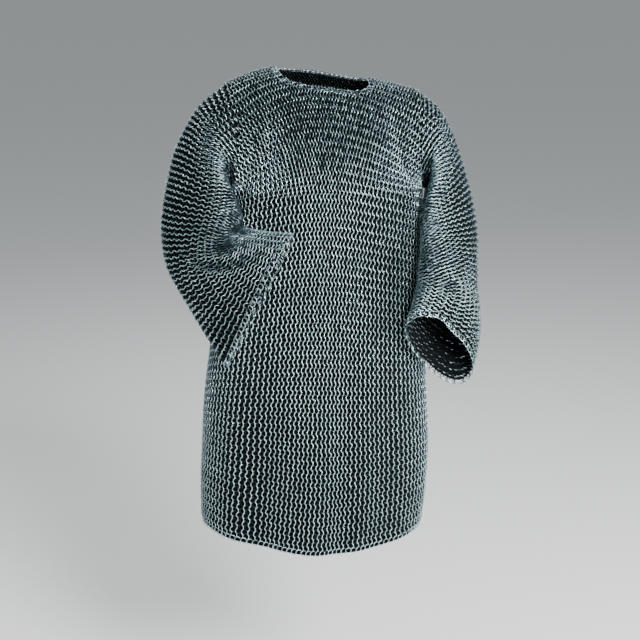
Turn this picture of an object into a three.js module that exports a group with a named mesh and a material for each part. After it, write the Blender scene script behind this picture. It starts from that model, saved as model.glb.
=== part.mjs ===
// A chainmail hauberk, worn: a hollow T-cut shirt of linked steel rings, from the shoulders to the
// top of the thighs, with two wide sleeves bent at the elbow. Neck, hem and both cuffs are open.
//
// Every piece is a wall as thick as the mail itself. One skin is worked out first, as the surface half way
// through the mail, and the panels are grids on it. Where two panels meet they share the skin's points and
// its facing, so their walls match edge to edge, a seam's gap apart.
//
// Millimetres. X points to the wearer's left, -Y is the front, +Z is up. The origin is the middle of the
// neck opening on the shoulder line, where the wearer's shoulders hold the shirt up.

import * as THREE from "three";

// Driving sizes
const WALL = 5.2; // the mail's thickness: rings of 1.6 mm wire that lean over each other
const SEAM_GAP = 0.5;
const PANEL_CELLS = 24; // across the front, and across the back
const SKIRT_CELLS = 28; // from the hem up to the armpits
const YOKE_CELLS = 11; // from the armpits up to the shoulder line
const SLEEVE_CELLS = 22; // from armhole to cuff

const ROUNDNESS = 2.4; // exponent of the body's outline, where 2 is an ellipse
const NECK_REACH = 0.5; // half the neck's width, as a share of the panel's half width
const NECK_DROP = { front: 0.27, back: 0.16 }; // as a share of the yoke
const NECK_TILT = 10; // the right side of the neck sits this much higher than its middle
const SIDE_PULL = 4; // how tightly the armhole's edge holds the chest's form
const ARCH_RISE = 0.45; // the share of the yoke over which the body's outline gives way to the arch
const CHEST_FLATNESS = 2.4;
const SHOULDER_FLATNESS = 2.2;

const SKIRT_LENGTH = 714; // along the cut, from hem to armpit
const YOKE_LENGTH = 306; // along the cut, from armpit to shoulder line
const PANEL_HALF_WIDTH = 300; // along the cut, from the middle to a side
const SLEEVE_LENGTH = 600; // along the sleeve's outer line
const SLEEVE_ROUND = 540; // round the sleeve

// The body's level outlines, evenly spaced from the hem to the armpits.
// halfWidth runs to each side of middle, front and back are depths from the side seams.
const BODY = [
  { level: -939, halfWidth: 226, front: 150, back: 138, middle: -26 },
  { level: -851, halfWidth: 231, front: 150, back: 138, middle: -21 },
  { level: -762, halfWidth: 231, front: 149, back: 136, middle: -17 },
  { level: -674, halfWidth: 227, front: 147, back: 132, middle: -16 },
  { level: -586, halfWidth: 220, front: 144, back: 126, middle: -13 },
  { level: -496, halfWidth: 212, front: 141, back: 120, middle: -9 },
  { level: -405, halfWidth: 204, front: 138, back: 117, middle: -5 },
  { level: -315, halfWidth: 197, front: 138, back: 121, middle: 0 },
  { level: -225, halfWidth: 192, front: 138, back: 127, middle: 4 },
];

// The middle line of the chest and of the upper back, from armpit level over to the shoulder line.
const CHEST_LINE = [
  { out: 138, level: -225 },
  { out: 141, level: -174 },
  { out: 137, level: -123 },
  { out: 122, level: -75 },
  { out: 92, level: -34 },
  { out: 49, level: -7 },
  { out: 0, level: 8 },
];
const BACK_LINE = [
  { out: 127, level: -225 },
  { out: 134, level: -174 },
  { out: 133, level: -123 },
  { out: 122, level: -74 },
  { out: 97, level: -31 },
  { out: 56, level: -2 },
  { out: 0, level: 8 },
];

// The sleeves, in even steps from the armhole to the cuff. outer is the line from the shoulder's tip over
// the elbow to the cuff's lowest corner. inner is the line from the armpit through the crook of the elbow.
// front and back are half depths, turn swings the front towards the body and lift tips it up, in degrees.
// full widens the side near the inner line and narrows the other. pull draws both depths inwards.
// A column that a table leaves out is 0.
const SLEEVE_RIGHT = [
  { outer: [-192, 0, -18], inner: [-188, 0, -225], front: 84, back: 80, turn: 0, full: 0, pull: 12 },
  { outer: [-238, -2, -55], inner: [-204, -9, -228], front: 84, back: 78, turn: 6, full: 0, pull: 6 },
  { outer: [-265, -4, -100], inner: [-200, -31, -237], front: 82, back: 76, turn: 13, full: 0, pull: 0 },
  { outer: [-286, -8, -148], inner: [-191, -54, -246], front: 80, back: 74, turn: 19, full: 0, pull: 0 },
  { outer: [-302, -12, -200], inner: [-185, -73, -255], front: 78, back: 70, turn: 20, full: 0, pull: 0 },
  { outer: [-315, -20, -253], inner: [-182, -90, -264], front: 76, back: 66, turn: 18, full: 0, pull: 0 },
  { outer: [-323, -30, -306], inner: [-182, -106, -272], front: 74, back: 60, turn: 12, full: 0, pull: 0 },
  { outer: [-319, -42, -360], inner: [-180, -121, -279], front: 70, back: 52, turn: 6, full: 0, pull: 0 },
  { outer: [-300, -56, -405], inner: [-171, -138, -284], front: 64, back: 44, turn: 0, full: 0.1, pull: 0 },
  { outer: [-274, -80, -450], inner: [-151, -156, -286], front: 56, back: 38, turn: -6, full: 0.25, pull: 0 },
  { outer: [-246, -112, -495], inner: [-124, -174, -287], front: 50, back: 34, turn: -12, full: 0.4, pull: 0 },
  { outer: [-214, -160, -542], inner: [-92, -192, -286], front: 46, back: 31, turn: -20, full: 0.5, pull: 0 },
];
const SLEEVE_LEFT = [
  { outer: [190, 0, -37], inner: [196, 0, -225], front: 84, back: 80, turn: 0, lift: 0, pull: 12 },
  { outer: [232, 0, -70], inner: [213, -9, -227], front: 84, back: 78, turn: 6, lift: 0, pull: 6 },
  { outer: [259, 0, -115], inner: [206, -31, -242], front: 82, back: 76, turn: 12, lift: 0, pull: 0 },
  { outer: [279, 0, -166], inner: [197, -54, -256], front: 80, back: 74, turn: 16, lift: 0, pull: 0 },
  { outer: [296, -2, -222], inner: [190, -72, -272], front: 78, back: 70, turn: 17, lift: 0, pull: 0 },
  { outer: [310, -5, -276], inner: [186, -88, -291], front: 76, back: 66, turn: 14, lift: 2, pull: 0 },
  { outer: [317, -8, -332], inner: [184, -103, -313], front: 74, back: 62, turn: 8, lift: 5, pull: 0 },
  { outer: [314, -10, -390], inner: [183, -118, -338], front: 72, back: 58, turn: 0, lift: 10, pull: 0 },
  { outer: [309, -14, -448], inner: [180, -132, -365], front: 68, back: 54, turn: -12, lift: 16, pull: 0 },
  { outer: [304, -26, -505], inner: [178, -145, -395], front: 62, back: 48, turn: -30, lift: 24, pull: 0 },
  { outer: [299, -46, -560], inner: [167, -157, -427], front: 56, back: 44, turn: -50, lift: 34, pull: 0 },
  { outer: [288, -72, -612], inner: [152, -168, -459], front: 50, back: 42, turn: -66, lift: 44, pull: 0 },
];
const SLEEVE_ROUNDNESS = 2.3;

// Soft waves of the skirt, all round it: how many, how high, and where the first one lies, in degrees.
// They are full at the hem and gone at the waist.
const SKIRT_WAVES = [
  { count: 5, height: 3.5, shift: 40 },
  { count: 8, height: 2.5, shift: 110 },
  { count: 13, height: 1.5, shift: 15 },
];
const WAVE_TOP = 0.75; // as a share of the skirt, from the hem
// The hem hangs higher on the wearer's right, where the bent arm takes the shirt up, and dips at the middle.
const HEM_SIDE_LIFT = 9;
const HEM_MIDDLE_DROP = 14;

// The largest folds. Each runs on a straight line over the flat cut, from one place to another.
// On a panel, across runs from -1 to 1 and up is in millimetres above the hem.
// On a sleeve, along runs from 0 to 1 and round is in degrees: 0 inner, 90 front, 180 outer, 270 back.
const PANEL_FOLDS = {
  front: [
    { across: -0.8, up: 700, acrossEnd: -0.68, upEnd: 900, width: 20, height: -9 },
    { across: 0.8, up: 690, acrossEnd: 0.68, upEnd: 900, width: 20, height: -9 },
    { across: -0.5, up: 560, acrossEnd: 0.25, upEnd: 500, width: 34, height: 4 },
    { across: 0.62, up: 610, acrossEnd: 0.1, upEnd: 560, width: 26, height: -4 },
  ],
  back: [
    { across: -0.75, up: 700, acrossEnd: -0.55, upEnd: 900, width: 24, height: -8 },
    { across: 0.75, up: 700, acrossEnd: 0.55, upEnd: 900, width: 24, height: -8 },
    { across: -0.6, up: 520, acrossEnd: 0.1, upEnd: 480, width: 30, height: 5 },
    { across: 0.6, up: 560, acrossEnd: 0, upEnd: 430, width: 30, height: -5 },
  ],
};
const SLEEVE_FOLDS = {
  right: [
    { along: 0.55, round: 150, alongEnd: 0.86, roundEnd: 75, width: 17, height: -8 },
    { along: 0.6, round: 122, alongEnd: 0.9, roundEnd: 48, width: 15, height: 7 },
    { along: 0.66, round: 165, alongEnd: 0.95, roundEnd: 105, width: 18, height: 6 },
    { along: 0.5, round: 60, alongEnd: 0.8, roundEnd: 20, width: 16, height: -9 },
    { along: 0.12, round: 55, alongEnd: 0.45, roundEnd: 35, width: 18, height: -7 },
    { along: 0.45, round: 290, alongEnd: 0.8, roundEnd: 320, width: 18, height: -7 },
    { along: 0.5, round: 250, alongEnd: 0.85, roundEnd: 275, width: 20, height: 6 },
  ],
  left: [
    { along: 0.8, round: 40, alongEnd: 1.02, roundEnd: 34, width: 15, height: -7 },
    { along: 0.82, round: 62, alongEnd: 1.02, roundEnd: 58, width: 15, height: 7 },
    { along: 0.8, round: 84, alongEnd: 1.02, roundEnd: 82, width: 15, height: -6 },
    { along: 0.1, round: 50, alongEnd: 0.5, roundEnd: 30, width: 18, height: -8 },
    { along: 0.55, round: 120, alongEnd: 0.85, roundEnd: 70, width: 20, height: 6 },
    { along: 0.5, round: 290, alongEnd: 0.8, roundEnd: 320, width: 18, height: -7 },
  ],
};

const STEEL = new THREE.MeshStandardMaterial({ color: 0x3e4a4e, roughness: 0.38, metalness: 1 });

// Value of one column of a table of evenly spaced rows, at t from 0 to 1, on a smooth curve through the rows.
function column(rows, name, t) {
  const last = rows.length - 1;
  const at = THREE.MathUtils.clamp(t, 0, 1) * last;
  const i = Math.min(Math.floor(at), last - 1);
  const f = at - i;
  const value = (k) => rows[k][name] ?? 0;
  const b = value(i);
  const c = value(i + 1);
  const a = i > 0 ? value(i - 1) : 2 * b - c;
  const d = i + 2 <= last ? value(i + 2) : 2 * c - b;
  return b + 0.5 * f * (c - a + f * (2 * a - 5 * b + 4 * c - d + f * (3 * (b - c) + d - a)));
}

function pointColumn(rows, name, t) {
  const axis = (k) => column(rows.map((row) => ({ value: row[name][k] })), "value", t);
  return new THREE.Vector3(axis(0), axis(1), axis(2));
}

// Smooth step from 0 to 1 while x goes from 0 to 1.
function ease(x) {
  const k = THREE.MathUtils.clamp(x, 0, 1);
  return k * k * (3 - 2 * k);
}

// Height of one fold at a place on the flat cut: a bell across the fold's line, fading at both ends.
function bell(place, start, end, width, height) {
  const run = end.clone().sub(start);
  const share = THREE.MathUtils.clamp(place.clone().sub(start).dot(run) / run.lengthSq(), 0, 1);
  const away = place.distanceTo(start.clone().addScaledVector(run, share));
  return height * Math.sin(Math.PI * (0.12 + 0.76 * share)) * Math.exp(-((away / width) ** 2));
}

function panelFold(side, across, up) {
  const flat = (a, b) => new THREE.Vector2(a * PANEL_HALF_WIDTH, b);
  const total = PANEL_FOLDS[side].reduce((sum, f) => {
    const start = flat(f.across, f.up);
    const end = flat(f.acrossEnd, f.upEnd);
    return sum + bell(flat(across, up), start, end, f.width, f.height);
  }, 0);
  return total * (1 - Math.abs(across) ** 8);
}

function sleeveFold(side, along, round) {
  const flat = (a, b) => new THREE.Vector2(a * SLEEVE_LENGTH, (b / 360) * SLEEVE_ROUND);
  const total = SLEEVE_FOLDS[side].reduce((sum, f) => {
    const start = flat(f.along, f.round);
    const end = flat(f.alongEnd, f.roundEnd);
    return sum + bell(flat(along, round), start, end, f.width, f.height);
  }, 0);
  return total * ease(along / 0.1);
}

// A place on a sleeve's skin: along from 0 at the armhole to 1 at the cuff, round in degrees from the
// inner line.
function sleevePoint(side, along, round) {
  const rows = side === "right" ? SLEEVE_RIGHT : SLEEVE_LEFT;
  const inwards = side === "right" ? 1 : -1;
  const outer = pointColumn(rows, "outer", along);
  const inner = pointColumn(rows, "inner", along);
  const turn = THREE.MathUtils.degToRad(column(rows, "turn", along)) * inwards;
  const lift = THREE.MathUtils.degToRad(column(rows, "lift", along));
  const facing = new THREE.Vector3(
    Math.sin(turn) * Math.cos(lift),
    -Math.cos(turn) * Math.cos(lift),
    Math.sin(lift),
  );
  const angle = THREE.MathUtils.degToRad(round);
  const c = Math.cos(angle);
  const s = Math.sin(angle);
  const full = (Math.abs(c) ** SLEEVE_ROUNDNESS + Math.abs(s) ** SLEEVE_ROUNDNESS) ** (-1 / SLEEVE_ROUNDNESS);
  const swell = THREE.MathUtils.lerp(1, full, ease(along / 0.2));
  const depth = column(rows, s > 0 ? "front" : "back", along) * (1 + column(rows, "full", along) * c);
  const spoke = outer.clone().sub(inner).multiplyScalar(-0.5 * c * swell);
  spoke.addScaledVector(facing, depth * s * swell);
  spoke.x += inwards * column(rows, "pull", along) * s * s;
  spoke.setLength(spoke.length() + sleeveFold(side, along, round));
  return outer.add(inner).multiplyScalar(0.5).add(spoke);
}

// A level outline of the body at an angle from the middle of the panel, 90 degrees at a side seam.
function bodyOutline(angle, halfWidth, depth, grow) {
  const s = Math.sin(angle);
  const c = Math.cos(angle);
  const reach =
    ((Math.abs(s) / halfWidth) ** ROUNDNESS + (Math.abs(c) / depth) ** ROUNDNESS) ** (-1 / ROUNDNESS) + grow;
  return { across: reach * s, out: reach * c };
}

// A place on a panel below the armpits: across from -1 to 1, rise from 0 at the hem to 1 at the armpits.
function skirtPoint(side, across, rise) {
  const outwards = side === "front" ? -1 : 1;
  const angle = (across * Math.PI) / 2;
  const bearing = side === "front" ? angle : Math.PI - angle;
  const fade = ease(1 - rise / WAVE_TOP);
  const waves = SKIRT_WAVES.reduce(
    (sum, w) => sum + w.height * Math.cos(w.count * bearing + THREE.MathUtils.degToRad(w.shift)),
    0,
  );
  const grow = waves * fade + panelFold(side, across, rise * SKIRT_LENGTH);
  const at = bodyOutline(angle, column(BODY, "halfWidth", rise), column(BODY, side, rise), grow);
  const hang = -HEM_SIDE_LIFT * Math.sin(bearing) - HEM_MIDDLE_DROP * Math.cos(2 * bearing);
  return new THREE.Vector3(
    column(BODY, "middle", rise) + at.across,
    outwards * at.out,
    column(BODY, "level", rise) + hang * fade,
  );
}

// A place on a panel above the armpits: rise from 0 at the armpits to 1 on the shoulder line.
// Low down it follows the body's outline as far as the armhole's edge, higher up it is a shallow arch
// from armhole to armhole.
function yokePoint(side, across, rise) {
  const outwards = side === "front" ? -1 : 1;
  const line = side === "front" ? CHEST_LINE : BACK_LINE;
  const round = side === "front" ? 180 * rise : 360 - 180 * rise;
  const right = sleevePoint("right", 0, round);
  const left = sleevePoint("left", 0, round);
  const edge = across < 0 ? right : left;
  const share = Math.abs(across);
  const out = column(line, "out", rise);
  const level = THREE.MathUtils.lerp(
    edge.z,
    column(line, "level", rise),
    1 - share ** SHOULDER_FLATNESS,
  );
  const tilt = -NECK_TILT * Math.sin(Math.PI * across) * ease(rise);
  const arch = new THREE.Vector3(
    THREE.MathUtils.lerp(right.x, left.x, (across + 1) / 2),
    THREE.MathUtils.lerp(edge.y, outwards * out, 1 - share ** CHEST_FLATNESS),
    level + tilt,
  );
  const top = BODY[BODY.length - 1];
  const edgeAngle = Math.atan2(Math.abs(edge.x - top.middle), Math.abs(edge.y));
  const outline = (angle) => {
    const at = bodyOutline(angle, top.halfWidth, out, 0);
    return new THREE.Vector3(top.middle + at.across, outwards * at.out, level + tilt);
  };
  const place = outline(across * edgeAngle);
  const missed = edge.clone().sub(outline(Math.sign(across) * edgeAngle));
  place.addScaledVector(missed.setZ(0), share ** SIDE_PULL);
  place.lerp(arch, ease(rise / ARCH_RISE));
  place.y += outwards * panelFold(side, across, SKIRT_LENGTH + rise * YOKE_LENGTH) * ease(3 * (1 - rise));
  return place;
}

// How far up the yoke a panel reaches: to the shoulder line, and to the neck's edge between them.
function yokeTop(side, across) {
  const share = Math.abs(across) / NECK_REACH;
  return share >= 1 ? 1 : 1 - NECK_DROP[side] * (1 - share ** 3) ** (1 / 3);
}

// The skin: points that panels share where they meet, with the quads of every panel.
const skin = { points: [], facing: [], known: new Map() };

function skinPoint(point) {
  const key = [point.x, point.y, point.z].map((value) => Math.round(value * 20)).join(" ");
  if (!skin.known.has(key)) {
    skin.known.set(key, skin.points.length);
    skin.points.push(point);
    skin.facing.push(new THREE.Vector3());
  }
  return skin.known.get(key);
}

// A panel's grid of skin points, row by row. Its quads add their facing to the points that they touch.
function layGrid(rows, columns, closed, place) {
  const grid = [];
  for (let j = 0; j <= rows; j++) {
    grid.push([]);
    for (let i = 0; i < columns + (closed ? 0 : 1); i++) grid[j].push(skinPoint(place(i, j)));
  }
  for (let j = 0; j < rows; j++) {
    for (let i = 0; i < columns; i++) {
      const n = (i + 1) % grid[j].length;
      const corners = [grid[j][i], grid[j][n], grid[j + 1][n], grid[j + 1][i]];
      const [a, b, c, d] = corners.map((k) => skin.points[k]);
      const facing = c.clone().sub(a).cross(d.clone().sub(b)).multiplyScalar(0.5);
      corners.forEach((k) => skin.facing[k].add(facing));
    }
  }
  return grid;
}

function panelGrid(side) {
  const flip = side === "front" ? 1 : -1; // both grids are seen from outside, so the back runs the other way
  return layGrid(SKIRT_CELLS + YOKE_CELLS, PANEL_CELLS, false, (i, j) => {
    const across = flip * ((2 * i) / PANEL_CELLS - 1);
    if (j <= SKIRT_CELLS) return skirtPoint(side, across, j / SKIRT_CELLS);
    return yokePoint(side, across, ((j - SKIRT_CELLS) / YOKE_CELLS) * yokeTop(side, across));
  });
}

function sleeveGrid(side) {
  const around = 2 * YOKE_CELLS;
  const flip = side === "right" ? 1 : -1; // the sleeves are mirrored, so one runs the other way round
  return layGrid(SLEEVE_CELLS, around, true, (i, j) =>
    sleevePoint(side, j / SLEEVE_CELLS, (360 + (flip * i * 360) / around) % 360),
  );
}

// The closed wall on a grid: its skin points pushed out and in by half the wall, with a rim at every edge.
// Edges draw back by half a seam's gap.
function wall(name, grid, closed) {
  const rows = grid.length;
  const columns = grid[0].length;
  const positions = [];
  const index = (layer, j, i) => (layer * rows + j) * columns + (i % columns);
  const skinAt = (j, i) => skin.points[grid[j][i]];
  for (const push of [WALL / 2, -WALL / 2]) {
    for (let j = 0; j < rows; j++) {
      for (let i = 0; i < columns; i++) {
        const point = skinAt(j, i).clone();
        const inner = [Math.min(Math.max(j, 1), rows - 2), closed ? i : Math.min(Math.max(i, 1), columns - 2)];
        if (inner[0] !== j) point.add(skinAt(inner[0], i).clone().sub(skinAt(j, i)).setLength(SEAM_GAP / 2));
        if (inner[1] !== i) point.add(skinAt(j, inner[1]).clone().sub(skinAt(j, i)).setLength(SEAM_GAP / 2));
        point.addScaledVector(skin.facing[grid[j][i]].clone().normalize(), push);
        positions.push(point.x, point.y, point.z);
      }
    }
  }
  const faces = [];
  const quad = (a, b, c, d) => faces.push(a, b, c, a, c, d);
  // The strip of rim between two neighbours on an edge. Both panels at a seam cut it along one diagonal.
  const rim = ([j, i], [m, n]) => {
    const corners = [index(0, j, i), index(1, j, i), index(1, m, n), index(0, m, n)];
    if (grid[j][i % columns] < grid[m][n % columns]) quad(...corners);
    else quad(...corners.slice(1), corners[0]);
  };
  const across = closed ? columns : columns - 1;
  for (let i = 0; i < across; i++) {
    for (let j = 0; j < rows - 1; j++) {
      quad(index(0, j, i), index(0, j, i + 1), index(0, j + 1, i + 1), index(0, j + 1, i));
      quad(index(1, j, i), index(1, j + 1, i), index(1, j + 1, i + 1), index(1, j, i + 1));
    }
    rim([0, i], [0, i + 1]);
    rim([rows - 1, i + 1], [rows - 1, i]);
  }
  for (let j = 0; j < rows - 1 && !closed; j++) {
    rim([j + 1, 0], [j, 0]);
    rim([j, columns - 1], [j + 1, columns - 1]);
  }
  const geometry = new THREE.BufferGeometry();
  geometry.setAttribute("position", new THREE.Float32BufferAttribute(positions, 3));
  geometry.setIndex(faces);
  geometry.computeVertexNormals();
  const mesh = new THREE.Mesh(geometry, STEEL);
  mesh.name = name;
  return mesh;
}

const grids = {
  front: panelGrid("front"),
  back: panelGrid("back"),
  sleeve_right: sleeveGrid("right"),
  sleeve_left: sleeveGrid("left"),
};

const hauberk = new THREE.Group();
for (const [name, grid] of Object.entries(grids)) hauberk.add(wall(name, grid, name.startsWith("sleeve")));

export default hauberk;
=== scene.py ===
"""A chainmail hauberk in its worn form: linked steel rings laid on the skin of a T-cut shirt.

The skin is the surface half way through the mail. It is worked out from the same sizes and formulas as the
construction, in millimetres, and every piece is a function of two parameters on that skin. Rings run in
level rows round the body and lengthwise down the sleeves, each row leaning the other way from the next.
"""
import math

import bpy
import numpy as np
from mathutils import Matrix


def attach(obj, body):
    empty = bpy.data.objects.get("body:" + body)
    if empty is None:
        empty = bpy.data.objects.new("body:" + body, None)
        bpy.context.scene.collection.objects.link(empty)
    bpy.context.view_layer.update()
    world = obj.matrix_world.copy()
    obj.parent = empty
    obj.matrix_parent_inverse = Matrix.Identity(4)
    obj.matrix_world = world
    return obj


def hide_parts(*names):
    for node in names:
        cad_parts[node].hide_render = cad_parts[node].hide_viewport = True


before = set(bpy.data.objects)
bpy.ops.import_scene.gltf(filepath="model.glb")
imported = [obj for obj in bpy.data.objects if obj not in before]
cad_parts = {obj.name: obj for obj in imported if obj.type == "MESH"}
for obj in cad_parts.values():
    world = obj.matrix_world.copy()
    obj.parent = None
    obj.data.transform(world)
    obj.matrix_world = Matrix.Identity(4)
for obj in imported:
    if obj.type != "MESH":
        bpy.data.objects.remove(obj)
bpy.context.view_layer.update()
MM = 0.001
rng = np.random.default_rng(1066)

# Sizes of the skirt, yoke and sleeves: millimetres, degrees, shares, and the powers of their rounded curves
ROUNDNESS = 2.4
NECK_REACH = 0.5
NECK_DROP = {"front": 0.27, "back": 0.16}
NECK_ROUNDNESS = 3
NECK_TILT = 10
SIDE_PULL = 4
ARCH_RISE = 0.45
CHEST_FLATNESS = 2.4
SHOULDER_FLATNESS = 2.2
SKIRT_LENGTH = 714
YOKE_LENGTH = 306
PANEL_HALF_WIDTH = 300
SLEEVE_LENGTH = 600
SLEEVE_ROUND = 540
SLEEVE_ROUNDNESS = 2.3
ARMHOLE_SWELL = 0.2  # the share of a sleeve in which its loops swell to their full roundness
WAVE_TOP = 0.75
HEM_SIDE_LIFT = 9
HEM_MIDDLE_DROP = 14

# How folds fade: the half sine's share before and within a fold, the power by which they fade to the side
# seams, how fast they fade to the shoulder line, and the share of a sleeve in which they start
FOLD_TIP = 0.12
FOLD_RUN = 0.76
FOLD_SEAM_POWER = 8
FOLD_SHOULDER_FADE = 3
FOLD_ARMHOLE = 0.1

# The weave: rings in a row, rows up each panel, and the rings' sizes in millimetres
PANEL_RINGS = 60
SKIRT_ROWS = 80
YOKE_ROWS = 34
CHEST_ROW = 54  # where a panel's rings are split into a skirt piece and a chest piece
TOP_ROW = SKIRT_ROWS + YOKE_ROWS
SLEEVE_RINGS = 50
RING_RADIUS = 6.1
WIRE_RADIUS = 0.88  # to a corner of the wire's three-sided section
RING_STEPS = 8
WIRE_STEPS = 3
LEAN_PITCHES = (6, 7.5, 9, 11, 13)
LEANS = (54, 50, 44, 38, 33)  # in degrees, at those pitches
LEAN_SPREAD = 3.5  # in degrees, from ring to ring
TURN_SPREAD = 0.05
PLACE_SPREAD = 0.25
EDGE_PITCH = 9.6
EDGE_LEAN = 0.2
EDGE_AHEAD = 3  # how far on an edge ring looks for its direction
NECK_POINTS = 90
CUFF_POINTS = 180
HEM_LEAN = 0.3  # as a share of the lean of the other rows
HEM_RING_DROP = 1.5
LEVEL_ROWS = 14  # rows up from the hem that stay level; above them each column of rings is evenly spaced
ROW_SAG = 0.085  # how far the rows hang down beside the armholes, as a share of the panel's length
HEM_SPREAD = 0.16  # how much wider the rings stand in the middle of the hem than by the sides
NECK_MARGIN = 0.3  # rows kept clear of the neck's edge
NECK_LINE_DROP = 0.012
CUFF_LINE = 1.004  # where the cuff's edge rings lie, as a share of the sleeve's length
ROW_TABLE = (49, 161)  # columns and shares in the table of rises

# How bright the wire is painted by its height over the skin in millimetres: partly wear, partly a painted
# highlight on the fronts and painted shade on the backs
WEAR_AND_PAINTED_LIGHT_HEIGHT = 6.5  # from the dark backs of the rings out to their bright fronts
INNER_DEPTH = 2.8  # where the backs that show inside the shirt start to be bright
INNER_WEAR_AND_PAINTED_LIGHT = 0.85
# Painted shade in creases: rings crowded below the open pitch are painted darker, down to the share below
OPEN_PITCH = 7.5
CREASE_PAINTED_SHADE_LIMIT = 0.35
EDGE_WEAR_AND_PAINTED_LIGHT = 1.75  # edge rings lie flat, and are painted bright all round: partly wear, partly a painted highlight

# The painted shade sheet under the rings, in millimetres
SHELL_WALL = 0.6
SHELL_DEPTH = 3.4
SLEEVE_SHELL_DEPTH = 2.4
SHELL_COLUMNS = 32
SKIRT_GRID = 37
YOKE_GRID = 17
SLEEVE_GRID = 33
SHELL_SEAM_POWER = 20
SHELL_ARMHOLE = 0.05  # the share of a sleeve in which the painted shade sheet's depth runs in
HEM_OVERHANG = 0.0035  # how far the painted shade sheet hangs below the hem, as a share of the skirt

# Steps of the slopes on a panel, as (across, rise), and on a sleeve, as (along, degrees round)
PANEL_STEPS = (0.004, 0.002)
SLEEVE_STEPS = (0.002, 0.4)

# The steel's brightness is a sum of the patina, each ring's tone and the wear and painted light; then its
# colours by brightness
PATINA_SHARE = 1.2
PATINA_REST = -1.03
TONE_SHARE = 0.22
WEAR_AND_PAINTED_LIGHT_SHARE = 1.25
PATINA_SCALE = 170
TOOTH_SCALE = 900
TOOTH_STRENGTH = 0.12
TOOTH_DEPTH = 0.0002
DARK_STEEL = (0.1, (0.018, 0.026, 0.03, 1))
MIDDLE_STEEL = (0.52, (0.045, 0.076, 0.087, 1))
BRIGHT_STEEL = (0.85, (0.55, 0.73, 0.77, 1))
ROUGHNESS = (0.5, 0.27)  # of the darkest and the brightest steel
MOTTLE_SCALE = 220
MOTTLE_COLOURS = ((0.001, 0.0014, 0.0017, 1), (0.004, 0.0055, 0.006, 1))

# The body's level outlines, evenly spaced from the hem to the armpits
BODY_COLUMNS = ("level", "halfWidth", "front", "back", "middle")
BODY = np.array([
    (-939, 226, 150, 138, -26),
    (-851, 231, 150, 138, -21),
    (-762, 231, 149, 136, -17),
    (-674, 227, 147, 132, -16),
    (-586, 220, 144, 126, -13),
    (-496, 212, 141, 120, -9),
    (-405, 204, 138, 117, -5),
    (-315, 197, 138, 121, 0),
    (-225, 192, 138, 127, 4),
], float)

# The middle line of the chest and the upper back: distance out, and level
MIDDLE_LINE = {
    "front": np.array([
        (138, -225), (141, -174), (137, -123), (122, -75), (92, -34), (49, -7), (0, 8),
    ], float),
    "back": np.array([
        (127, -225), (134, -174), (133, -123), (122, -74), (97, -31), (56, -2), (0, 8),
    ], float),
}

# The sleeves, in even steps from armhole to cuff: the outer line, the inner line, half depths to the front
# and back, the front's turn towards the body and lift in degrees, fullness inside, and drawing in
SLEEVE = {
    "right": np.array([
        (-192, 0, -18, -188, 0, -225, 84, 80, 0, 0, 0, 12),
        (-238, -2, -55, -204, -9, -228, 84, 78, 6, 0, 0, 6),
        (-265, -4, -100, -200, -31, -237, 82, 76, 13, 0, 0, 0),
        (-286, -8, -148, -191, -54, -246, 80, 74, 19, 0, 0, 0),
        (-302, -12, -200, -185, -73, -255, 78, 70, 20, 0, 0, 0),
        (-315, -20, -253, -182, -90, -264, 76, 66, 18, 0, 0, 0),
        (-323, -30, -306, -182, -106, -272, 74, 60, 12, 0, 0, 0),
        (-319, -42, -360, -180, -121, -279, 70, 52, 6, 0, 0, 0),
        (-300, -56, -405, -171, -138, -284, 64, 44, 0, 0, 0.1, 0),
        (-274, -80, -450, -151, -156, -286, 56, 38, -6, 0, 0.25, 0),
        (-246, -112, -495, -124, -174, -287, 50, 34, -12, 0, 0.4, 0),
        (-214, -160, -542, -92, -192, -286, 46, 31, -20, 0, 0.5, 0),
    ], float),
    "left": np.array([
        (190, 0, -37, 196, 0, -225, 84, 80, 0, 0, 0, 12),
        (232, 0, -70, 213, -9, -227, 84, 78, 6, 0, 0, 6),
        (259, 0, -115, 206, -31, -242, 82, 76, 12, 0, 0, 0),
        (279, 0, -166, 197, -54, -256, 80, 74, 16, 0, 0, 0),
        (296, -2, -222, 190, -72, -272, 78, 70, 17, 0, 0, 0),
        (310, -5, -276, 186, -88, -291, 76, 66, 14, 2, 0, 0),
        (317, -8, -332, 184, -103, -313, 74, 62, 8, 5, 0, 0),
        (314, -10, -390, 183, -118, -338, 72, 58, 0, 10, 0, 0),
        (309, -14, -448, 180, -132, -365, 68, 54, -12, 16, 0, 0),
        (304, -26, -505, 178, -145, -395, 62, 48, -30, 24, 0, 0),
        (299, -46, -560, 167, -157, -427, 56, 44, -50, 34, 0, 0),
        (288, -72, -612, 152, -168, -459, 50, 42, -66, 44, 0, 0),
    ], float),
}

# Soft waves of the skirt: count, height and shift in degrees
SKIRT_WAVES = ((5, 3.5, 40), (8, 2.5, 110), (13, 1.5, 15))

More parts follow.
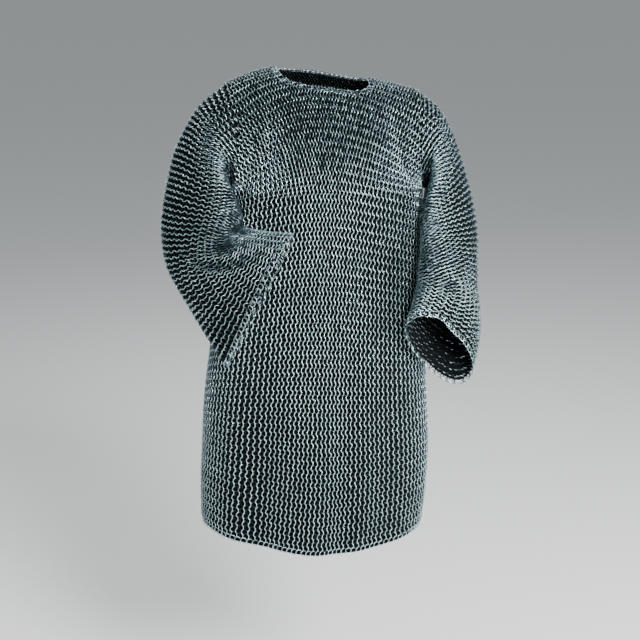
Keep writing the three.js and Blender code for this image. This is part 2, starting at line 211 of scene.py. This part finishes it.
# Folds over the flat cut: start, end, width and height. A place is (across, up) on a panel and (along, round)
# on a sleeve.
PANEL_FOLDS = {
    "front": (
        (-0.8, 700, -0.68, 900, 20, -9),
        (0.8, 690, 0.68, 900, 20, -9),
        (-0.5, 560, 0.25, 500, 34, 4),
        (0.62, 610, 0.1, 560, 26, -4),
    ),
    "back": (
        (-0.75, 700, -0.55, 900, 24, -8),
        (0.75, 700, 0.55, 900, 24, -8),
        (-0.6, 520, 0.1, 480, 30, 5),
        (0.6, 560, 0, 430, 30, -5),
    ),
}
SLEEVE_FOLDS = {
    "right": (
        (0.55, 150, 0.86, 75, 17, -8),
        (0.6, 122, 0.9, 48, 15, 7),
        (0.66, 165, 0.95, 105, 18, 6),
        (0.5, 60, 0.8, 20, 16, -9),
        (0.12, 55, 0.45, 35, 18, -7),
        (0.45, 290, 0.8, 320, 18, -7),
        (0.5, 250, 0.85, 275, 20, 6),
    ),
    "left": (
        (0.8, 40, 1.02, 34, 15, -7),
        (0.82, 62, 1.02, 58, 15, 7),
        (0.8, 84, 1.02, 82, 15, -6),
        (0.1, 50, 0.5, 30, 18, -8),
        (0.55, 120, 0.85, 70, 20, 6),
        (0.5, 290, 0.8, 320, 18, -7),
    ),
}


def curve_through(rows, t):
    """A smooth curve through evenly spaced rows: the cubic whose slope at a row is half the step from the row
    before to the row after."""
    last = len(rows) - 1
    ends = np.concatenate([2 * rows[:1] - rows[1:2], rows, 2 * rows[-1:] - rows[-2:-1]])
    at = np.clip(t, 0, 1) * last
    i = np.minimum(np.floor(at).astype(int), last - 1)
    f = (at - i)[..., None] if rows.ndim > 1 else at - i
    a, b, c, d = (ends[i + k] for k in range(4))
    return b + 0.5 * f * (c - a + f * (2 * a - 5 * b + 4 * c - d + f * (3 * (b - c) + d - a)))


def ease(x):
    """3 x squared less 2 x cubed, held between 0 and 1."""
    k = np.clip(x, 0, 1)
    return k * k * (3 - 2 * k)


def fold_height(folds, a, b, a_scale, b_scale):
    """The sum of the folds: each is a bell of the distance to its line on the flat cut, sunk at both ends."""
    total = np.zeros(np.broadcast(a, b).shape)
    for a0, b0, a1, b1, width, height in folds:
        start = np.array([a0 * a_scale, b0 * b_scale])
        run = np.array([a1 * a_scale, b1 * b_scale]) - start
        place = np.stack(np.broadcast_arrays(a * a_scale, b * b_scale), -1) - start
        share = np.clip(place @ run / (run @ run), 0, 1)
        away = np.linalg.norm(place - share[..., None] * run, axis=-1)
        total += height * np.sin(np.pi * (FOLD_TIP + FOLD_RUN * share)) * np.exp(-((away / width) ** 2))
    return total


def sleeve_skin(side, along, turn_round):
    """A loop of angle turn_round, in degrees from the inner line, about the middle of the inner and outer
    lines: a superellipse of half their distance and the sleeve's depth. Past the cuff it runs on straight."""
    along, turn_round = np.broadcast_arrays(np.asarray(along, float), np.asarray(turn_round, float))
    table = SLEEVE[side]
    row = curve_through(table, along)
    past = np.maximum(along - 1, 0)[..., None] * (table[-1] - table[-2]) * (len(table) - 1)
    outer, inner = row[..., :3] + past[..., :3], row[..., 3:6] + past[..., 3:6]
    inwards = 1 if side == "right" else -1
    turn, lift = np.radians(row[..., 8]) * inwards, np.radians(row[..., 9])
    facing = np.stack([np.sin(turn) * np.cos(lift), -np.cos(turn) * np.cos(lift), np.sin(lift)], -1)
    c, s = np.cos(np.radians(turn_round)), np.sin(np.radians(turn_round))
    full = (np.abs(c) ** SLEEVE_ROUNDNESS + np.abs(s) ** SLEEVE_ROUNDNESS) ** (-1 / SLEEVE_ROUNDNESS)
    swell = 1 + (full - 1) * ease(along / ARMHOLE_SWELL)
    depth = np.where(s > 0, row[..., 6], row[..., 7]) * (1 + row[..., 10] * c)
    spoke = (outer - inner) * (-0.5 * c * swell)[..., None] + facing * (depth * s * swell)[..., None]
    spoke[..., 0] += inwards * row[..., 11] * s * s
    fold = fold_height(SLEEVE_FOLDS[side], along, turn_round, SLEEVE_LENGTH, SLEEVE_ROUND / 360)
    fold = fold * ease(along / FOLD_ARMHOLE)
    length = np.linalg.norm(spoke, axis=-1)
    return (outer + inner) / 2 + spoke * ((length + fold) / length)[..., None]


def outline(angle, half_width, depth, grow=0.0):
    """The superellipse of the body at an angle from the panel's middle: its distances across and out."""
    s, c = np.sin(angle), np.cos(angle)
    power = (np.abs(s) / half_width) ** ROUNDNESS + (np.abs(c) / depth) ** ROUNDNESS
    reach = power ** (-1 / ROUNDNESS) + grow
    return reach * s, reach * c


def skirt_skin(side, across, rise):
    """Below the armpits: the body's outline at that level, with cosine waves and folds added to its reach,
    and a hem that lifts at the shirt's right and dips in the middle."""
    out_sign = -1 if side == "front" else 1
    body = dict(zip(BODY_COLUMNS, np.moveaxis(curve_through(BODY, rise), -1, 0)))
    angle = across * np.pi / 2
    bearing = angle if side == "front" else np.pi - angle
    fade = ease(1 - rise / WAVE_TOP)
    waves = sum(height * np.cos(count * bearing + np.radians(shift)) for count, height, shift in SKIRT_WAVES)
    fold = fold_height(PANEL_FOLDS[side], across, rise * SKIRT_LENGTH, PANEL_HALF_WIDTH, 1)
    grow = waves * fade + fold * (1 - np.abs(across) ** FOLD_SEAM_POWER)
    x, out = outline(angle, body["halfWidth"], body[side], grow)
    hang = -HEM_SIDE_LIFT * np.sin(bearing) - HEM_MIDDLE_DROP * np.cos(2 * bearing)
    return np.stack([body["middle"] + x, out_sign * out, body["level"] + hang * fade], -1)


def yoke_skin(side, across, rise):
    """Above the armpits: the body's outline as far as the armhole's edge, giving way with height to a shallow
    arch from armhole to armhole."""
    out_sign = -1 if side == "front" else 1
    turn_round = 180 * rise if side == "front" else 360 - 180 * rise
    right, left = sleeve_skin("right", 0, turn_round), sleeve_skin("left", 0, turn_round)
    edge = np.where((across < 0)[..., None], right, left)
    share = np.abs(across)
    out, level = np.moveaxis(curve_through(MIDDLE_LINE[side], rise), -1, 0)
    z = edge[..., 2] + (level - edge[..., 2]) * (1 - share**SHOULDER_FLATNESS)
    z = z - NECK_TILT * np.sin(np.pi * across) * ease(rise)
    arch_x = right[..., 0] + (left[..., 0] - right[..., 0]) * (across + 1) / 2
    arch_y = edge[..., 1] + (out_sign * out - edge[..., 1]) * (1 - share**CHEST_FLATNESS)
    half_width, middle = BODY[-1, 1], BODY[-1, 4]
    edge_angle = np.arctan2(np.abs(edge[..., 0] - middle), np.abs(edge[..., 1]))
    x, y = outline(across * edge_angle, half_width, out)
    edge_x, edge_y = outline(np.sign(across) * edge_angle, half_width, out)
    pull = share**SIDE_PULL
    body_x = middle + x + (edge[..., 0] - middle - edge_x) * pull
    body_y = out_sign * y + (edge[..., 1] - out_sign * edge_y) * pull
    blend = ease(rise / ARCH_RISE)
    fold = fold_height(PANEL_FOLDS[side], across, SKIRT_LENGTH + rise * YOKE_LENGTH, PANEL_HALF_WIDTH, 1)
    fold = fold * (1 - share**FOLD_SEAM_POWER) * ease(FOLD_SHOULDER_FADE * (1 - rise))
    out_x = body_x + (arch_x - body_x) * blend
    out_y = body_y + (arch_y - body_y) * blend + out_sign * fold
    return np.stack([out_x, out_y, z], -1)


def panel_skin(side, across, rise):
    """A panel: the skirt for rise up to 1, straight down below 0, and the yoke from 1 to 2."""
    across, rise = np.broadcast_arrays(np.asarray(across, float), np.asarray(rise, float))
    low = skirt_skin(side, across, np.minimum(rise, 1))
    low[..., 2] += np.minimum(rise, 0) * SKIRT_LENGTH
    high = yoke_skin(side, across, np.clip(rise - 1, 1e-6, 1))
    return np.where((rise <= 1)[..., None], low, high)


def yoke_top(side, across):
    """How far up the yoke a panel reaches: the shoulder line, less the neck's rounded drop."""
    share = np.clip(np.abs(across) / NECK_REACH, 0, 1)
    return 1 - NECK_DROP[side] * (1 - share**NECK_ROUNDNESS) ** (1 / NECK_ROUNDNESS)


def unit(v):
    """Each vector over its own length."""
    return v / np.maximum(np.linalg.norm(v, axis=-1, keepdims=True), 1e-9)


def frame_on(skin, a, b, steps):
    """Place, unit vectors along both parameters and the facing of a skin, by central differences."""
    step_a, step_b = steps
    place = skin(a, b)
    along = unit(skin(a + step_a, b) - skin(a - step_a, b))
    up = skin(a, b + step_b) - skin(a, b - step_b)
    up = unit(up - (up * along).sum(-1, keepdims=True) * along)
    return place, along, up, np.cross(along, up)


def panel_frame(side, across, rise):
    """The frame on a panel, facing outwards."""
    place, along, up, facing = frame_on(lambda a, b: panel_skin(side, a, b), across, rise, PANEL_STEPS)
    return place, along, up, facing if side == "front" else -facing


def sleeve_frame(side, along, turn_round):
    """The frame on a sleeve, facing away from the middle between the place and the one opposite."""
    skin = lambda a, b: sleeve_skin(side, a, b)
    place, run, up, facing = frame_on(skin, along, turn_round, SLEEVE_STEPS)
    middle = (skin(along, turn_round) + skin(along, turn_round + 180)) / 2
    return place, run, up, facing * np.sign((facing * (place - middle)).sum(-1, keepdims=True))


def new_object(name, vertices, faces, material):
    """A mesh of vertices in millimetres and faces that all have the same number of sides."""
    mesh = bpy.data.meshes.new(name)
    sides = faces.shape[1]
    mesh.vertices.add(len(vertices))
    mesh.vertices.foreach_set("co", (vertices * MM).astype(np.float32).ravel())
    mesh.loops.add(faces.size)
    mesh.loops.foreach_set("vertex_index", faces.astype(np.int32).ravel())
    mesh.polygons.add(len(faces))
    mesh.polygons.foreach_set("loop_start", np.arange(0, faces.size, sides, dtype=np.int32))
    mesh.polygons.foreach_set("use_smooth", np.full(len(faces), True))
    mesh.update(calc_edges=True)
    mesh.validate()
    mesh.materials.append(material)
    piece = bpy.data.objects.new(name, mesh)
    bpy.context.scene.collection.objects.link(piece)
    return piece


def crease_painted_shade_at(pitch):
    """The painted shade of a crease: the share that a ring's pitch is of an open pitch, so that crowded
    rings, which lie deep in a crease, are painted darker."""
    return np.clip(pitch / OPEN_PITCH, CREASE_PAINTED_SHADE_LIMIT, 1)


def lean_at(pitch):
    """How far a ring leans, in radians, at a pitch along its row: steeper where the rings are crowded."""
    return np.radians(np.interp(pitch, LEAN_PITCHES, LEANS))


def rings(name, place, along, up, facing, lean, wear_and_painted_light_scale):
    """Joined rings. Each is a circle about its place in the plane of up and of along turned by lean towards
    the facing, and round that circle goes a small circle of the wire's radius. Each ring has a tone of its
    own, and a mark that grows with the wire's height over the skin: partly wear, partly a painted highlight
    on the fronts and painted shade on the backs."""
    count = len(place)
    wobble = rng.normal(0, 1, (count, 4))
    lean = (lean + np.radians(LEAN_SPREAD) * wobble[:, 0])[:, None]
    up = unit(up + TURN_SPREAD * wobble[:, 1:2] * along)
    flat = unit(np.cos(lean) * along - np.sin(lean) * facing)
    axis = np.cross(flat, up)
    place = place + PLACE_SPREAD * wobble[:, 2:3] * along + PLACE_SPREAD * wobble[:, 3:4] * up
    a = np.linspace(0, 2 * np.pi, RING_STEPS, endpoint=False)[None, :, None, None] + np.pi / RING_STEPS
    b = np.linspace(0, 2 * np.pi, WIRE_STEPS, endpoint=False)[None, None, :, None]
    spoke = np.cos(a) * flat[:, None, None, :] + np.sin(a) * up[:, None, None, :]
    points = (
        place[:, None, None, :]
        + (RING_RADIUS + WIRE_RADIUS * np.cos(b)) * spoke
        + WIRE_RADIUS * np.sin(b) * axis[:, None, None, :]
    )
    i, j = (m.ravel() for m in np.meshgrid(np.arange(RING_STEPS), np.arange(WIRE_STEPS), indexing="ij"))
    i2, j2 = (i + 1) % RING_STEPS, (j + 1) % WIRE_STEPS
    face = np.stack([i * WIRE_STEPS + j, i2 * WIRE_STEPS + j, i2 * WIRE_STEPS + j2, i * WIRE_STEPS + j2], -1)
    faces = (face[None] + (np.arange(count) * RING_STEPS * WIRE_STEPS)[:, None, None]).reshape(-1, 4)
    piece = new_object(name, points.reshape(-1, 3), faces, STEEL)
    tone = np.repeat(rng.uniform(0, 1, count), RING_STEPS * WIRE_STEPS).astype(np.float32)
    piece.data.attributes.new("tone", "FLOAT", "POINT").data.foreach_set("value", tone)
    # Painted light and wear: brighter towards the wire's front and darker towards its back, times the painted
    # shade of creases; backs deep inside the shirt are brighter again
    height = ((points - place[:, None, None, :]) * facing[:, None, None, :]).sum(-1)
    wear_and_painted_light = np.clip(0.5 + height / WEAR_AND_PAINTED_LIGHT_HEIGHT, 0, 1) * np.broadcast_to(wear_and_painted_light_scale, count)[:, None, None]
    wear_and_painted_light = np.maximum(wear_and_painted_light, np.clip(-height - INNER_DEPTH, 0, INNER_WEAR_AND_PAINTED_LIGHT))
    wear_and_painted_light = wear_and_painted_light.ravel().astype(np.float32)
    piece.data.attributes.new("wear_and_painted_light", "FLOAT", "POINT").data.foreach_set("value", wear_and_painted_light)
    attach(piece, "root")
    return piece


def wire_steel():
    """Darkened steel wire with a fine tooth, brighter where a ring stands out and darker at its back and in
    creases: partly wear, partly painted highlight and painted shade. The sum of a noise, the ring's tone and
    that wear and painted light sets the colour and, inversely, the roughness."""
    material = bpy.data.materials.new("wire_steel")
    material.use_nodes = True
    nodes, links = material.node_tree.nodes, material.node_tree.links
    shader = nodes["Principled BSDF"]
    shader.inputs["Metallic"].default_value = 1.0

    def attribute(name):
        """The value of that name on the mesh's points."""
        node = nodes.new("ShaderNodeAttribute")
        node.attribute_name = name
        return node.outputs["Fac"]

    def sum_of(value, share, rest):
        """share times value, plus the rest."""
        node = nodes.new("ShaderNodeMath")
        node.operation = "MULTIPLY_ADD"
        links.new(value, node.inputs[0])
        node.inputs[1].default_value = share
        if isinstance(rest, float):
            node.inputs[2].default_value = rest
        else:
            links.new(rest, node.inputs[2])
        return node.outputs[0]

    place = nodes.new("ShaderNodeTexCoord").outputs["Object"]
    patina = nodes.new("ShaderNodeTexNoise")
    patina.inputs["Scale"].default_value = PATINA_SCALE
    patina.inputs["Detail"].default_value = 4
    links.new(place, patina.inputs["Vector"])
    bright = sum_of(patina.outputs["Fac"], PATINA_SHARE, PATINA_REST)
    bright = sum_of(attribute("tone"), TONE_SHARE, bright)
    bright = sum_of(attribute("wear_and_painted_light"), WEAR_AND_PAINTED_LIGHT_SHARE, bright)
    ramp = nodes.new("ShaderNodeValToRGB")
    stops = ramp.color_ramp.elements
    stops[0].position, stops[0].color = DARK_STEEL
    stops[1].position, stops[1].color = BRIGHT_STEEL
    middle_place, middle_colour = MIDDLE_STEEL
    stops.new(middle_place).color = middle_colour
    links.new(bright, ramp.inputs["Fac"])
    links.new(ramp.outputs["Color"], shader.inputs["Base Color"])
    rough = nodes.new("ShaderNodeMapRange")
    rough.inputs["To Min"].default_value, rough.inputs["To Max"].default_value = ROUGHNESS
    links.new(bright, rough.inputs["Value"])
    links.new(rough.outputs["Result"], shader.inputs["Roughness"])
    tooth = nodes.new("ShaderNodeTexNoise")
    tooth.inputs["Scale"].default_value = TOOTH_SCALE
    bump = nodes.new("ShaderNodeBump")
    bump.inputs["Strength"].default_value = TOOTH_STRENGTH
    bump.inputs["Distance"].default_value = TOOTH_DEPTH
    links.new(place, tooth.inputs["Vector"])
    links.new(tooth.outputs["Fac"], bump.inputs["Height"])
    links.new(bump.outputs["Normal"], shader.inputs["Normal"])
    return material


def weave_shadow():
    """Painted shade between the rings: the oiled, unlit steel of the rings behind, near-black, with a faint
    mottle.
    """
    material = bpy.data.materials.new("weave_shadow")
    material.use_nodes = True
    nodes, links = material.node_tree.nodes, material.node_tree.links
    shader = nodes["Principled BSDF"]
    shader.inputs["Roughness"].default_value = 1.0
    shader.inputs["Specular IOR Level"].default_value = 0.05
    place = nodes.new("ShaderNodeTexCoord")
    mottle = nodes.new("ShaderNodeTexNoise")
    mottle.inputs["Scale"].default_value = MOTTLE_SCALE
    links.new(place.outputs["Object"], mottle.inputs["Vector"])
    ramp = nodes.new("ShaderNodeValToRGB")
    ramp.color_ramp.elements[0].color, ramp.color_ramp.elements[1].color = MOTTLE_COLOURS
    links.new(mottle.outputs["Fac"], ramp.inputs["Fac"])
    links.new(ramp.outputs["Color"], shader.inputs["Base Color"])
    return material


STEEL = wire_steel()
SHADOW = weave_shadow()


def shell(name, points, closed, flip, node):
    """A thin near-black sheet on the skin's grid of points: painted shade that fills the gaps between the
    rings, standing in for the unlit depth of the mail.
    """
    rows, columns = points.shape[:2]
    i, j = (m.ravel() for m in np.meshgrid(np.arange(columns - (not closed)), np.arange(rows - 1)))
    i2 = (i + 1) % columns
    faces = np.stack([j * columns + i, j * columns + i2, (j + 1) * columns + i2, (j + 1) * columns + i], -1)
    if flip:
        faces = faces[:, ::-1]
    piece = new_object(name, points.reshape(-1, 3), faces, SHADOW)
    wall = piece.modifiers.new("wall", "SOLIDIFY")
    wall.thickness = SHELL_WALL * MM
    wall.offset = 0
    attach(piece, "root")
    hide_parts(node)
    return piece


def even_rise(side, across, rise):
    """Above the level rows, the rise at which a column of rings has gone the same share of its length on the
    skin as it has gone of its rows, from a table of columns and shares. From that share goes the rows' sag:
    a half sine of the share times the square of the distance across."""
    columns = np.linspace(-1, 1, ROW_TABLE[0])
    shares = np.linspace(0, 1, ROW_TABLE[1])
    low = LEVEL_ROWS / SKIRT_ROWS
    climb = low + shares * (2 - low)
    place = panel_skin(side, columns[None, :], climb[:, None])
    run = np.cumsum(np.linalg.norm(np.diff(place, axis=0, prepend=place[:1]), axis=-1), axis=0)
    table = np.stack([np.interp(shares, run[:, k] / run[-1, k], climb) for k in range(columns.size)], -1)
    row = SKIRT_ROWS * np.minimum(rise, 1) + YOKE_ROWS * np.maximum(rise - 1, 0)
    share = np.clip((row - LEVEL_ROWS) / (TOP_ROW - LEVEL_ROWS), 0, 1)
    at = (share - ROW_SAG * np.sin(np.pi * share) * across**2) * (shares.size - 1)
    beside = (across + 1) / 2 * (columns.size - 1)
    j = np.minimum(at.astype(int), shares.size - 2)
    k = np.minimum(beside.astype(int), columns.size - 2)
    f, g = at - j, beside - k
    lower = table[j, k] * (1 - g) + table[j, k + 1] * g
    upper = table[j + 1, k] * (1 - g) + table[j + 1, k + 1] * g
    return np.where(row < LEVEL_ROWS, rise, lower * (1 - f) + upper * f)


def panel_lattice(side, first, last):
    """Ring places of a panel's rows first to last: evenly spaced in each row but for the wider middle of the
    hem, with every other row half a pitch on. Those are the odd rows of the front and the even rows of the
    back, so that the weave carries on round the side seams."""
    rows = np.arange(first, last)
    yoke_rise = 1 + (rows - SKIRT_ROWS + 0.5) / YOKE_ROWS
    rise = np.where(rows < SKIRT_ROWS, (rows + 0.5) / SKIRT_ROWS, yoke_rise)
    odd = (rows + (side == "back")) % 2
    across = -1 + 2 * (np.arange(PANEL_RINGS)[None, :] + 0.25 + 0.5 * odd[:, None]) / PANEL_RINGS
    rise = np.broadcast_to(rise[:, None], across.shape)
    spread = HEM_SPREAD * np.clip(1 - rise, 0, 1)
    across = across + spread * np.sin(np.pi * across) / np.pi
    rise = even_rise(side, across, rise)
    odd = np.broadcast_to(odd[:, None], across.shape)
    keep = (rise - 1) < yoke_top(side, across) - NECK_MARGIN / YOKE_ROWS
    return across[keep], rise[keep], odd[keep]


def panel_rings(name, side, first, last):
    """A panel's rows first to last. The hem's row hangs a little lower and lies flatter."""
    across, rise, odd = panel_lattice(side, first, last)
    place, along, up, facing = panel_frame(side, across, rise)
    step = 1 / PANEL_RINGS
    ahead, behind = panel_skin(side, across + step, rise), panel_skin(side, across - step, rise)
    pitch = np.linalg.norm(ahead - behind, axis=-1)
    lean = lean_at(pitch) * np.where(odd == 1, -1, 1)
    edge = rise < 1 / SKIRT_ROWS
    lean = np.where(edge, HEM_LEAN * lean, lean)
    place = place - HEM_RING_DROP * edge[:, None] * up
    return rings(name, place, along, up, facing, lean, np.where(edge, EDGE_WEAR_AND_PAINTED_LIGHT, crease_painted_shade_at(pitch)))


def sleeve_rings(name, side):
    """A sleeve's rows run lengthwise, and carry on the panels' yoke rows round the armhole."""
    rows = np.arange(2 * YOKE_ROWS)
    turn_round = (rows + 0.5) * 180 / YOKE_ROWS
    odd = rows % 2
    first = 0.25 + 0.5 * odd if side == "left" else 0.75 - 0.5 * odd
    along = (np.arange(SLEEVE_RINGS)[None, :] + first[:, None]) / SLEEVE_RINGS
    turn_round = np.broadcast_to(turn_round[:, None], along.shape)
    odd = np.broadcast_to(odd[:, None], along.shape)
    along, turn_round, odd = along.ravel(), turn_round.ravel(), odd.ravel()
    place, run, up, facing = sleeve_frame(side, along, turn_round)
    mirrored = 1 if side == "left" else -1
    step = 0.5 / SLEEVE_RINGS
    ahead, behind = sleeve_skin(side, along + step, turn_round), sleeve_skin(side, along - step, turn_round)
    pitch = np.linalg.norm(ahead - behind, axis=-1)
    lean = lean_at(pitch) * np.where(odd == 1, -1, 1)
    return rings(name, place, run * mirrored, up, facing, lean, crease_painted_shade_at(pitch))


def edge_rings(name, places):
    """Fuller rings along an open edge: evenly spaced on the line of places, lying almost flat in the skin."""
    line, facing = places
    closed = np.concatenate([line, line[:1]])
    run = np.concatenate([[0], np.cumsum(np.linalg.norm(np.diff(closed, axis=0), axis=1))])
    count = int(run[-1] / EDGE_PITCH)
    at = (np.arange(count) + 0.5) * run[-1] / count
    place = np.stack([np.interp(at, run, closed[:, k]) for k in range(3)], -1)
    ahead = np.stack([np.interp((at + EDGE_AHEAD) % run[-1], run, closed[:, k]) for k in range(3)], -1)
    along = unit(ahead - place)
    out = np.stack([np.interp(at, run, np.concatenate([facing, facing[:1]])[:, k]) for k in range(3)], -1)
    out = unit(out - (out * along).sum(-1, keepdims=True) * along)
    up = np.cross(out, along)
    lean = np.where(np.arange(count) % 2, -EDGE_LEAN, EDGE_LEAN)
    return rings(name, place, along, up, out, lean, EDGE_WEAR_AND_PAINTED_LIGHT)


def neck_line():
    """The neck's edge, round from the front's right over the left to the back: skin places just below the
    yoke's top."""
    across = NECK_REACH * np.sin(np.linspace(-np.pi / 2, np.pi / 2, NECK_POINTS))
    lines, facings = [], []
    for side, order in (("front", 1), ("back", -1)):
        a = across[::order][:-1]
        place, _, _, facing = panel_frame(side, a, 1 + yoke_top(side, a) - NECK_LINE_DROP)
        lines.append(place)
        facings.append(facing)
    return np.concatenate(lines), np.concatenate(facings)


def cuff_line(side):
    """The cuff's edge: skin places just past the sleeve's end, all the way round."""
    turn_round = np.linspace(0, 360, CUFF_POINTS + 1)[:-1]
    place, _, _, facing = sleeve_frame(side, np.full_like(turn_round, CUFF_LINE), turn_round)
    return place, facing


def panel_shell(side):
    """The panel's painted shade sheet, on its grid up to the yoke's top. Its depth under the rings runs out
    at the seams, so that the sheets meet there."""
    across = np.linspace(-1, 1, SHELL_COLUMNS + 1)[None, :]
    skirt = np.repeat(np.linspace(-HEM_OVERHANG, 1, SKIRT_GRID)[:, None], across.size, 1)
    yoke = 1 + np.linspace(0, 1, YOKE_GRID)[1:, None] * yoke_top(side, across)
    rise = np.concatenate([skirt, yoke])
    across = np.repeat(across, len(rise), 0)
    place, _, _, facing = panel_frame(side, across, rise)
    depth = SHELL_DEPTH * (1 - across**SHELL_SEAM_POWER)[..., None]
    points = place - depth * facing
    return shell(f"{side}_backing", points, False, side == "back", side)


def sleeve_shell(side):
    """The sleeve's painted shade sheet, on its grid. Its depth under the rings runs out at the armhole."""
    turn_round = np.linspace(0, 360, SHELL_COLUMNS + 1)[None, :-1]
    along = np.linspace(0, 1, SLEEVE_GRID)[:, None]
    turn_round, along = np.broadcast_arrays(turn_round, along)
    place, _, _, facing = sleeve_frame(side, along, turn_round)
    depth = SLEEVE_SHELL_DEPTH * ease(along / SHELL_ARMHOLE)[..., None]
    points = place - depth * facing
    node = f"sleeve_{side}"
    return shell(f"{node}_backing", points, True, side == "left", node)


for side in ("front", "back"):
    pieces = [
        panel_rings(f"{side}_skirt_rings", side, 0, CHEST_ROW),
        panel_rings(f"{side}_chest_rings", side, CHEST_ROW, TOP_ROW),
    ]
    panel_shell(side)
for side in ("right", "left"):
    pieces = [
        sleeve_rings(f"sleeve_{side}_rings", side),
        edge_rings(f"cuff_{side}_rings", cuff_line(side)),
    ]
    sleeve_shell(side)
edge_rings("neck_rings", neck_line())

# The room, in metres: a pale floor well below the hem, soft light from all round and a broad lamp in front
FLOOR_LEVEL = -1.5
FLOOR_HALF = 300.0
FLOOR_COLOUR = (0.86, 0.86, 0.86, 1)
FLOOR_ROUGHNESS = 0.9
SKY_COLOUR = (0.9, 0.97, 1.0, 1)
SKY_STRENGTH = 0.36

# Each lamp's name, place, target, diameter and power
LAMPS = (
    ("key", (1.1, -3.6, 1.5), (0, 0, -0.4), 1.4, 420),
    ("side", (2.6, -1.2, 0.4), (0, 0, -0.6), 1.0, 85),
    ("rim", (-0.6, 2.6, 2.2), (0, 0, -0.4), 1.6, 70),
)

# The camera: 3 m off, above the shoulder line and a little to the shirt's right, looking down
CAMERA_PLACE = (-0.4235, -2.970, 0.220)
CAMERA_TILT = 13.5
CAMERA_TURN = 8
LENS_LENGTH = 84.4
SENSOR_WIDTH = 36


def floor():
    """One pale square on the floor's level."""
    mesh = bpy.data.meshes.new("floor")
    corners = ((-1, -1), (1, -1), (1, 1), (-1, 1))
    mesh.from_pydata([(x * FLOOR_HALF, y * FLOOR_HALF, FLOOR_LEVEL) for x, y in corners], [], [(0, 1, 2, 3)])
    pale = bpy.data.materials.new("pale_floor")
    pale.use_nodes = True
    paint = pale.node_tree.nodes["Principled BSDF"]
    paint.inputs["Base Color"].default_value = FLOOR_COLOUR
    paint.inputs["Roughness"].default_value = FLOOR_ROUGHNESS
    mesh.materials.append(pale)
    ground = bpy.data.objects.new("floor", mesh)
    bpy.context.scene.collection.objects.link(ground)


def area_light(name, place, target, size, power):
    """A round lamp at a place, turned by the two angles of the line from there to its target."""
    lamp = bpy.data.lights.new(name, "AREA")
    lamp.shape = "DISK"
    lamp.size = size
    lamp.energy = power
    light = bpy.data.objects.new(name, lamp)
    light.location = place
    aim = np.array(target, float) - np.array(place, float)
    light.rotation_euler = (math.atan2(math.hypot(aim[0], aim[1]), -aim[2]), 0, math.atan2(-aim[0], aim[1]))
    bpy.context.scene.collection.objects.link(light)


floor()
for lamp in LAMPS:
    area_light(*lamp)
sky = bpy.data.worlds.new("studio")
sky.use_nodes = True
sky.node_tree.nodes["Background"].inputs["Color"].default_value = SKY_COLOUR
sky.node_tree.nodes["Background"].inputs["Strength"].default_value = SKY_STRENGTH
bpy.context.scene.world = sky

lens = bpy.data.cameras.new("camera")
lens.sensor_width = SENSOR_WIDTH
lens.lens = LENS_LENGTH
camera = bpy.data.objects.new("camera", lens)
camera.location = CAMERA_PLACE
camera.rotation_euler = (math.radians(90 - CAMERA_TILT), 0, math.radians(-CAMERA_TURN))
bpy.context.scene.collection.objects.link(camera)
bpy.context.scene.camera = camera
